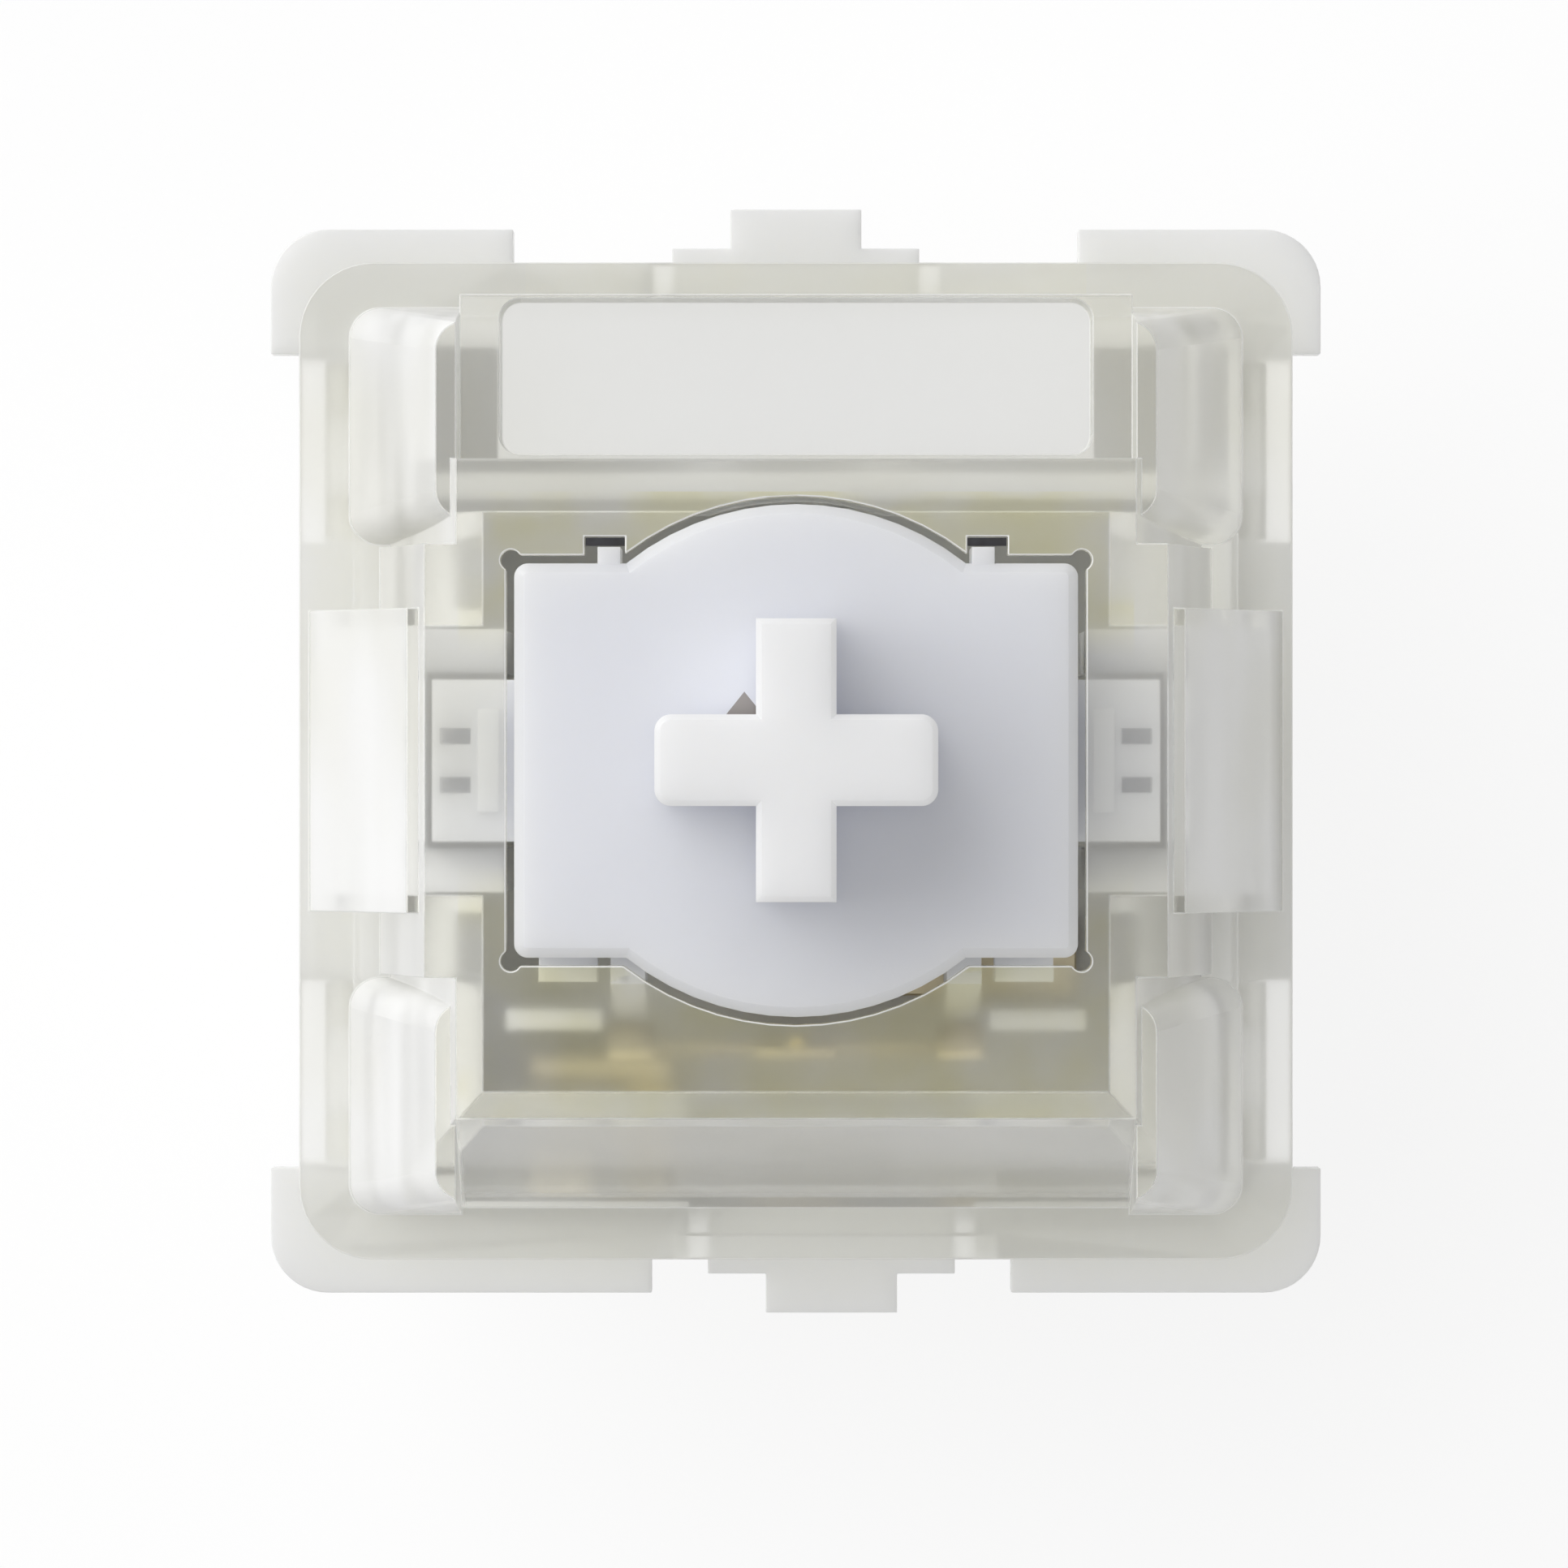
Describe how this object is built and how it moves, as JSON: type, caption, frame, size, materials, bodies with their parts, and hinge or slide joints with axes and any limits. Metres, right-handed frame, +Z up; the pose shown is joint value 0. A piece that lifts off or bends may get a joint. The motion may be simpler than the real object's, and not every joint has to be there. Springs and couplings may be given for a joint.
{
  "type": "mechanical keyboard switch",
  "caption": "Plate-mount keyboard switch with a clear cover over a milky base, a cross stem on a return spring and a pair of contacts with solder pins.",
  "frame": {"origin": "centre of the locating post, in the plane of the lower housing's underside, which is the circuit board's face", "axes": "+Z up along the stem's travel towards the keycap, +X to the right and +Y towards the lamp window, seen from above"},
  "size_m": [0.0156, 0.0164, 0.0185],
  "materials": {
    "clear_cover": "clear polycarbonate with a slight warm tint, glossy",
    "milky_base": "milky translucent nylon, satin",
    "milky_stem": "milky translucent acetal, satin",
    "spring_steel": "plated spring wire",
    "contact_metal": "tin-plated copper alloy sheet",
    "contact_point": "gold alloy contact bar"
  },
  "bodies": {
    "housing": {"bottom_housing": "milky_base", "top_housing": "clear_cover", "return_spring": "spring_steel", "fixed_contact_terminal": "contact_metal", "fixed_crosspoint": "contact_point", "moving_contact_terminal": "contact_metal"},
    "stem": {"stem": "milky_stem"},
    "leaf": {"moving_contact_leaf": "contact_metal", "moving_crosspoint": "contact_point"}
  },
  "joints": [
    {"name": "stem_press", "type": "slide", "parent": "housing", "child": "stem", "axis": [0, 0, -1], "range_m": [0, 0.004], "stiffness_N_per_m": 75, "springref_m": -0.004, "deforming": ["return_spring"]},
    {"name": "leaf_swing", "type": "hinge", "parent": "housing", "child": "leaf", "pos_m": [0, -0.00432, 0.0015], "axis": [1, 0, 0], "range_deg": [-5.73, 0]}
  ],
  "couplings": [
    {"joint": "leaf_swing", "follows": "stem_press", "rad_per_m": -25}
  ]
}
